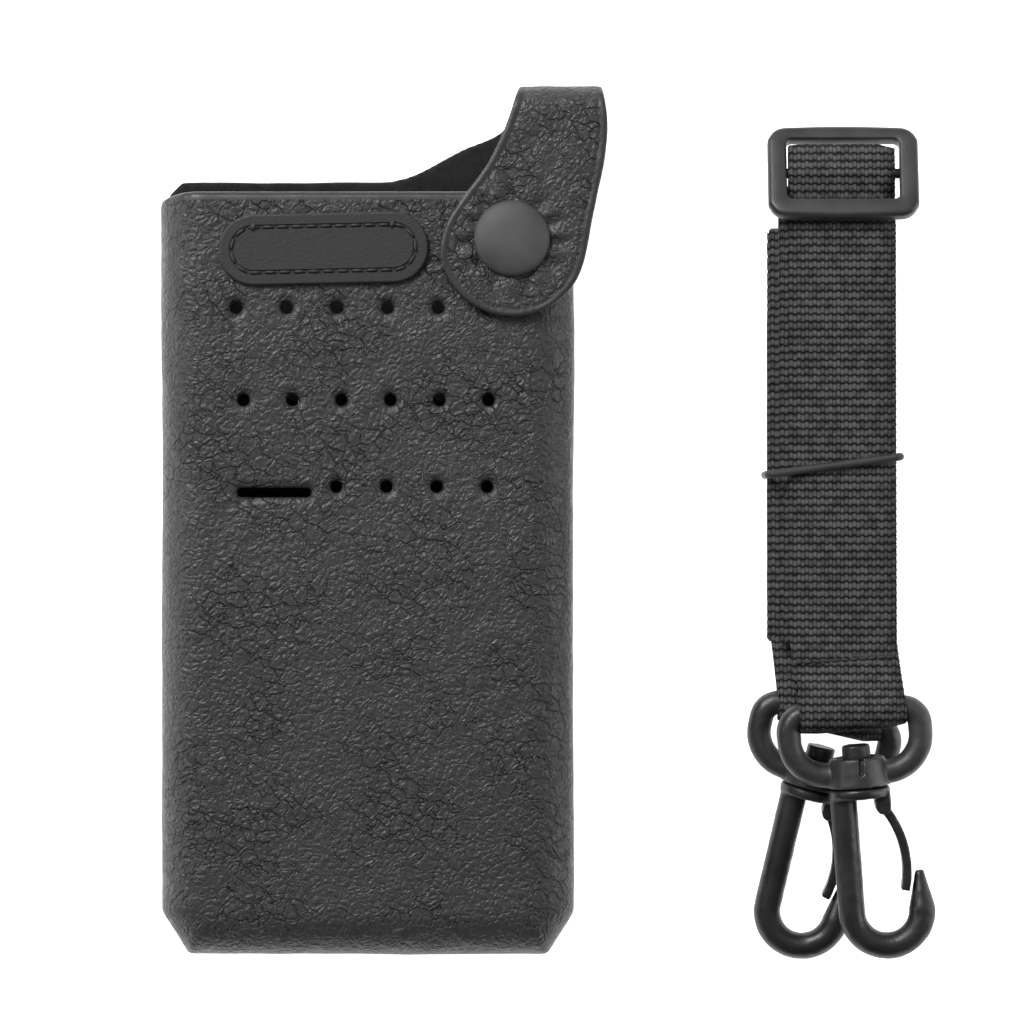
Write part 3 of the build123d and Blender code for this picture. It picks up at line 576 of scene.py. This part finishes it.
def makeBackSeam():
    low, high = (Vector(c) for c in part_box("back_panel"))
    bodyLow, bodyHigh = (Vector(c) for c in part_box("body_shell"))
    inset = 3.0 * mm
    down = Vector((0, 0, -1))
    z = low.z - 0.05 * mm
    left, right, base = bodyLow.x + inset, bodyHigh.x - inset, bodyLow.y + inset
    points = [(left, bodyHigh.y - 4 * mm), (left, base + 7 * mm), (left + 4.5 * mm, base),
              (right - 4.5 * mm, base),
              (right, base + 7 * mm), (right, bodyHigh.y - 4 * mm)]
    shape = bmesh.new()
    for start, end in zip(points, points[1:]):
        stitchRow(shape, Vector((*start, z)), Vector((*end, z)), down, 3.2 * mm, 2.5 * mm, 0.36 * mm)
    loopLow, loopHigh = (Vector(c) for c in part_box("belt_loop"))
    z = loopHigh.z - 2.05 * mm
    for y in (loopLow.y + 2 * mm, loopHigh.y - 2 * mm):
        stitchRow(shape, Vector((loopLow.x + 3 * mm, y, z)), Vector((loopHigh.x - 3 * mm, y, z)), down,
                  2.6 * mm, 2.1 * mm, 0.32 * mm)
    pieceFrom(shape, "seamThread", ["thread"], "case")


makeBadgeThread(thread)
makeBackSeam()
print("threads made")

# webbing
web = dict(width=20.0 * mm, thick=1.2 * mm, pitch=1.3 * mm, base=2.3 * mm, x=89.8 * mm, top=66.0 * mm,
           bottom=-13.6 * mm,
           yarn=0.75 * mm, row=1.45 * mm, relief=0.34 * mm, edgeWave=0.34 * mm,
           loopRadius=1.62 * mm, ringLoop=3.28 * mm, turns=dict(front=4.5, rear=-13.0))
pivots = {joint["name"]: Vector(joint["pos_m"]) for joint in frame["joints"] if "pos_m" in joint}
web["slider"] = pivots["slider_tilt"].yz
for end in ("front", "rear"):
    bar = pivots[f"{end}_ring_swing"]
    web[end] = dict(x=bar.x, y=bar.y, z=bar.z, turn=web["turns"][end])


def levelHeight(number):
    return web["base"] + number * web["pitch"]


def arcPoints(y, z, radius, start, end, count):
    angles = [math.radians(start + (end - start) * n / count) for n in range(count + 1)]
    return [(y + radius * math.cos(a), z + radius * math.sin(a)) for a in angles]


def rowWave(y):
    return abs(math.sin(math.pi * y / web["row"]))


def ribbon(name, path, step, columns, relief, neck=None):
    points = [Vector(p) for p in path]
    lengths = [0.0]
    for a, b in zip(points, points[1:]):
        lengths.append(lengths[-1] + (b - a).length)
    rows = max(2, round(lengths[-1] / step))
    samples = []
    place = 0
    for number in range(rows + 1):
        distance = lengths[-1] * number / rows
        while place < len(points) - 2 and lengths[place + 1] < distance:
            place += 1
        share = (distance - lengths[place]) / max(lengths[place + 1] - lengths[place], 1e-9)
        samples.append(points[place].lerp(points[place + 1], min(max(share, 0), 1)))
    tangents = [(samples[min(n + 2, rows)] - samples[max(n - 2, 0)]).normalized() for n in range(rows + 1)]
    under = 6
    around = columns + under
    shape = bmesh.new()
    bmesh.ops.create_grid(shape, x_segments=around, y_segments=rows, size=0.5)
    half = web["width"] / 2
    for v in shape.verts:
        i = round((v.co.x + 0.5) * around)
        n = round((v.co.y + 0.5) * rows)
        middle, tangent = samples[n], tangents[n]
        normal = Vector((0, -tangent.z, tangent.y))
        if i <= columns:
            x = -half + web["width"] * i / columns
            lift = web["thick"] / 2 - 0.35 * mm * max(0.0, (abs(x) / half - 0.965) / 0.035) ** 2
            globalX = middle.x + x
            column = math.floor(globalX / web["yarn"])
            yarnRound = abs(math.sin(math.pi * globalX / web["yarn"])) ** 0.6
            along = middle.y / web["row"] + (0.14 if column % 2 else 0.0)
            rowRound = abs(math.sin(math.pi * along)) ** 0.6
            lift += relief * (rowRound * (0.65 + 0.35 * yarnRound) - 0.7)
            if i in (0, columns) or abs(x) > half - 0.3 * mm:
                x += math.copysign(web["edgeWave"] * (rowWave(middle.y) - 0.5), x)
        else:
            x = ((half - web["width"] * (i - columns) / under)
                 * (1 + web["edgeWave"] / half * (rowWave(middle.y) - 0.5)))
            lift = -web["thick"] / 2 + (0.3 * mm if i in (columns, around) else 0)
        side = Vector((1, 0, 0))
        if neck:
            weight = min(max((neck["from"] - middle.y) / neck["over"], 0), 1)
            weight = weight * weight * (3 - 2 * weight)
            turn = Matrix.Rotation(math.radians(neck["turn"]) * weight, 3, "Z")
            side = turn @ side
            normal = turn @ normal
        v.co = middle + side * x + normal * lift
    bmesh.ops.remove_doubles(shape, verts=shape.verts, dist=0.002 * mm)
    bmesh.ops.holes_fill(shape, edges=[e for e in shape.edges if e.is_boundary], sides=0)
    bmesh.ops.recalc_face_normals(shape, faces=shape.faces)
    piece = pieceFrom(shape, name, ["webbing"], "strap")
    return piece


def makeWebbing():
    barY, barZ = web["slider"]
    front, rear = web["front"], web["rear"]
    r, turn = web["ringLoop"], web["loopRadius"]
    top11, top10 = levelHeight(11), levelHeight(10)
    flat = [(63 * mm, top10), (67.5 * mm, barZ - turn), (barY + 3.8 * mm, barZ - turn)]
    flat += arcPoints(barY + 4.0 * mm, barZ - 0.55 * mm, 1.1 * mm, -90, 70, 8)
    flat += arcPoints(barY, barZ, turn, 84, 105, 4)
    flat += [(barY - 6.2 * mm, top11 + 0.05 * mm), (66 * mm, top11), (20 * mm, top11), (-13 * mm, top11),
             (-17.5 * mm, top11 + 0.1 * mm)]
    flat += arcPoints(front["y"], front["z"], r, 75, 285, 18)
    flat += [(-17.5 * mm, top10 - 0.15 * mm), (-12.5 * mm, top10)]
    path = []
    for y, z in flat:
        lean = min(max((-12 * mm - y) / (15 * mm), 0), 1)
        aside = 0.3 * mm * min(max((y - 64 * mm) / (8 * mm), 0), 1)
        path.append((web["x"] - aside + (front["x"] - web["x"]) * lean, y, z))
    ribbons = [ribbon("webbingFrontRun", path, 0.25 * mm, 100, web["relief"],
                      dict(turn=front["turn"], over=14 * mm, **{"from": -12 * mm}))]
    # the sewn end that holds the rear ring
    flat = [(20 * mm, levelHeight(5)), (-10 * mm, levelHeight(5)), (-15 * mm, levelHeight(5) - 0.2 * mm)]
    flat += arcPoints(rear["y"], rear["z"], r, 75, 285, 18)
    flat += [(-15 * mm, levelHeight(4) - 0.1 * mm), (-10 * mm, levelHeight(4)), (20 * mm, levelHeight(4))]
    path = [(web["x"] - 3.4 * mm
             + (rear["x"] - web["x"] + 3.4 * mm) * min(max((-10 * mm - y) / (15 * mm), 0), 1), y, z)
            for y, z in flat]
    ribbons.append(ribbon("webbingRearRun", path, 0.36 * mm, 60, 0.24 * mm,
                          dict(turn=rear["turn"], over=14 * mm, **{"from": -10 * mm})))
    # folded lengths behind the front run, each layer a little off the last
    for name, first, last in (("webbingUpperFolds", 10, 6), ("webbingLowerFolds", 3, 0)):
        path = []
        down = True
        for number in range(first, last - 1, -1):
            x = web["x"] - (1.0 + 0.3 * (10 - number)) * mm + random.uniform(-0.35, 0.35) * mm
            if number == 10:
                x = web["x"] - 0.5 * mm
            highEnd = web["top"] + (7 * mm if 6 <= number < 10 else 0) - random.uniform(0.4, 1.6) * mm
            lowEnd = web["bottom"] + random.uniform(0.3, 1.6) * mm + (3.5 * mm if number >= 9 else 0)
            z = levelHeight(number)
            ends = [highEnd, lowEnd] if down else [lowEnd, highEnd]
            run = [(x, ends[0], z), (x, (ends[0] + ends[1]) / 2, z), (x, ends[1], z)]
            path += run
            if number > last:
                radius = web["pitch"] / 2
                sweep = (90, 270) if down else (90, -90)
                for y, zz in arcPoints(ends[1], z - radius, radius, *sweep, 6)[1:-1]:
                    path.append((x, y, zz))
            down = not down
        ribbons.append(ribbon(name, path, 0.42 * mm, 54, 0.12 * mm))
    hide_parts("webbing")
    return ribbons


ribbons = makeWebbing()


def makeWebbingThread(run):
    tree = BVHTree.FromObject(run, bpy.context.evaluated_depsgraph_get())
    shape = bmesh.new()
    for start, end in (((80.6, -16.9), (101.2, -15.6)),):
        count = 12
        for number in range(count):
            share = (number + 0.5) / count
            x = (start[0] + (end[0] - start[0]) * share) * mm
            y = (start[1] + (end[1] - start[1]) * share) * mm
            hit = tree.ray_cast(Vector((x, y, 0.05)), Vector((0, 0, -1)))[0]
            if hit:
                addStitch(shape, hit + Vector((0, 0, 0.02 * mm)),
                          Vector((1, 0.07 + random.uniform(-0.2, 0.2), 0)),
                          Vector((0, 0, 1)), 1.75 * mm, 0.4 * mm)
    pieceFrom(shape, "webbingThread", ["thread"], "strap")


makeWebbingThread(ribbons[0])
print("webbing made")

# slider
slider = dict(width=28.6 * mm, height=19.0 * mm, thick=3.0 * mm, corner=3.3 * mm, bow=0.4 * mm,
              tilt=math.radians(22.0), windowWidth=21.4 * mm, windowHeight=12.4 * mm,
              windowCorner=1.1 * mm, windowUp=0.45 * mm, outerEdge=0.95 * mm, innerEdge=0.45 * mm,
              barRadius=0.95 * mm)


def roundedOutline(shape, width, height, corner, up=0.0):
    place = Matrix.Translation((0, up, 0)) @ Matrix.Diagonal((width, height, 1, 1))
    corners = bmesh.ops.create_grid(shape, x_segments=1, y_segments=1, size=0.5, matrix=place)["verts"]
    old = set(shape.verts) - set(corners)
    bmesh.ops.bevel(shape, geom=corners, offset=corner, segments=8, profile=0.5, affect="VERTICES",
                    material=-1)
    straight = [e for e in shape.edges if not any(v in old for v in e.verts) and e.calc_length() > 3 * mm]
    bmesh.ops.subdivide_edges(shape, edges=straight, cuts=9)


def makeSlider(look):
    low, high = (Vector(c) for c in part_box("slider"))
    shape = bmesh.new()
    roundedOutline(shape, look["width"], look["height"], look["corner"])
    roundedOutline(shape, look["windowWidth"], look["windowHeight"], look["windowCorner"], look["windowUp"])
    bmesh.ops.delete(shape, geom=shape.faces[:], context="FACES_ONLY")
    bmesh.ops.bridge_loops(shape, edges=shape.edges[:])
    for v in shape.verts:
        if abs(v.co.y) > look["windowHeight"] / 2 + mm:
            v.co.y -= math.copysign(look["bow"] * (v.co.x / (look["width"] / 2)) ** 2, v.co.y)
        v.co.z = -look["thick"] / 2
    made = bmesh.ops.extrude_face_region(shape, geom=shape.faces[:], use_keep_orig=True)["geom"]
    bmesh.ops.translate(shape, vec=(0, 0, look["thick"]),
                        verts=[v for v in made if isinstance(v, bmesh.types.BMVert)])
    bmesh.ops.recalc_face_normals(shape, faces=shape.faces)
    sharp = [e for e in shape.edges if e.calc_face_angle(0) > 1.2]
    window = Vector((look["windowWidth"] / 2 + 0.05 * mm,
                     look["windowHeight"] / 2 + look["windowUp"] + 0.05 * mm))
    inside = [e for e in sharp if all(abs(v.co.x) < window.x and abs(v.co.y) < window.y for v in e.verts)]
    outside = [e for e in sharp if e not in set(inside)]
    bmesh.ops.bevel(shape, geom=outside, offset=look["outerEdge"], segments=4, profile=0.5, affect="EDGES",
                    material=-1)
    inside = [e for e in inside if e.is_valid]
    bmesh.ops.bevel(shape, geom=inside, offset=look["innerEdge"], segments=3, profile=0.5, affect="EDGES",
                    material=-1)
    bmesh.ops.create_cone(shape, cap_ends=True, segments=24,
                          radius1=look["barRadius"], radius2=look["barRadius"],
                          depth=look["width"] - 3.5 * mm, matrix=Matrix.Rotation(math.pi / 2, 4, "Y"))
    bmesh.ops.recalc_face_normals(shape, faces=shape.faces)
    turned = (Matrix.Translation(((low.x + high.x) / 2, *web["slider"]))
              @ Matrix.Rotation(-look["tilt"], 4, "X"))
    bmesh.ops.transform(shape, matrix=turned, verts=shape.verts)
    piece = pieceFrom(shape, "sliderFrame", ["slider"], "slider")
    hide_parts("slider")


makeSlider(slider)
print("slider made")

# cast eyes, hooks and their gates
casting = dict(voxel=0.25 * mm, slitX=93.0 * mm, slitY=(-37.9 * mm, -34.2 * mm), slitHalf=0.38 * mm,
               slitDepth=1.1 * mm)
for end in ("front", "rear"):
    for part in ("eye", "hook", "gate"):
        shape = remeshed(shapeOfNode(f"{part}_{end}"), casting["voxel"], 5 if part == "hook" else 3)
        if part == "eye" and end == "front":
            top = max(v.co.z for v in shape.verts)
            for v in shape.verts:
                past = max(casting["slitY"][0] - v.co.y, v.co.y - casting["slitY"][1], 0.0)
                aside = math.hypot(v.co.x - casting["slitX"], past)
                if aside < casting["slitHalf"] and v.normal.z > 0.2 and v.co.z > top - 5 * mm:
                    v.co.z -= casting["slitDepth"]
        undulate(shape, 0.05 * mm, 1.6 * mm)
        finish = "ring" if part == "eye" else "cast"
        piece = pieceFrom(shape, f"{part}Casting_{end}", [finish], f"{end}_{part}")
        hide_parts(f"{part}_{end}")
print("castings made")

# finishes of the nodes that stay
nodeFinish = {
    "belt_loop": "grain", "ring_tab_left": "grain", "ring_tab_right": "grain",
    "pouch_lining": "suede", "back_lining": "suede", "badge": "badge",
    "snap_socket": "snap", "snap_stud": "snap",
    "ring_tab_rivet_left": "snap", "ring_tab_rivet_right": "snap",
    "d_ring_left": "cast", "d_ring_right": "cast", "rubber_band": "rubber",
    **{f"belt_loop_rivet_{number}": "snap" for number in range(1, 5)},
}
for name, finish in nodeFinish.items():
    mesh = nodes[name].data
    mesh.materials.clear()
    mesh.materials.append(finishes[finish])

# floor, light, camera
studio = dict(middle=(0.027, 0.0117), height=1.0954, lens=200.0, world=(0.14, 0.62), glow=1.0,
              target=(0.03, 0.01, 0.02),
              lights=(("keyLight", (-0.35, 0.55, 0.75), (0.5, 0.35), 9.0),
                      ("leftLight", (-0.8, -0.05, 0.22), (0.25, 0.7), 1.7),
                      ("rightLight", (0.85, 0.0, 0.25), (0.25, 0.7), 1.9)))


def areaLight(name, place, target, size, power):
    data = bpy.data.lights.new(name, "AREA")
    data.shape = "RECTANGLE"
    data.size, data.size_y = size
    data.energy = power
    light = bpy.data.objects.new(name, data)
    light.location = place
    light.rotation_euler = (Vector(target) - Vector(place)).to_track_quat("-Z", "Y").to_euler()
    bpy.context.scene.collection.objects.link(light)


def makeStudio(look):
    scene = bpy.context.scene
    shape = bmesh.new()
    bmesh.ops.create_grid(shape, x_segments=1, y_segments=1, size=3.0,
                          matrix=Matrix.Translation((0, 0, -0.0002)))
    mesh = bpy.data.meshes.new("floor")
    shape.to_mesh(mesh)
    shape.free()
    floor = bpy.data.objects.new("floor", mesh)
    scene.collection.objects.link(floor)
    material, tree, shader = startMaterial("paleFloor", (0.93, 0.93, 0.93), 0.9)
    shader.inputs["Specular IOR Level"].default_value = 0.0
    shader.inputs["Emission Color"].default_value = (1, 1, 1, 1)
    shader.inputs["Emission Strength"].default_value = look["glow"]
    mesh.materials.append(material)
    world = bpy.data.worlds.new("studio")
    world.use_nodes = True
    world.node_tree.nodes["Background"].inputs[0].default_value = (1, 1, 1, 1)
    sky = world.node_tree
    place = addNode(sky, "ShaderNodeSeparateXYZ",
                    {0: addNode(sky, "ShaderNodeTexCoord").outputs["Generated"]})
    sky.links.new(mapRange(sky, place.outputs[1], -0.6, 0.4, *look["world"]),
                  sky.nodes["Background"].inputs[1])
    scene.world = world
    for name, spot, size, power in look["lights"]:
        areaLight(name, spot, look["target"], size, power)
    camera = bpy.data.objects.new("camera", bpy.data.cameras.new("camera"))
    camera.data.lens = look["lens"]
    camera.data.sensor_width = 36.0
    camera.location = (*look["middle"], look["height"])
    scene.collection.objects.link(camera)
    scene.camera = camera
    scene.view_settings.view_transform = "Standard"


makeStudio(studio)
print("studio made")
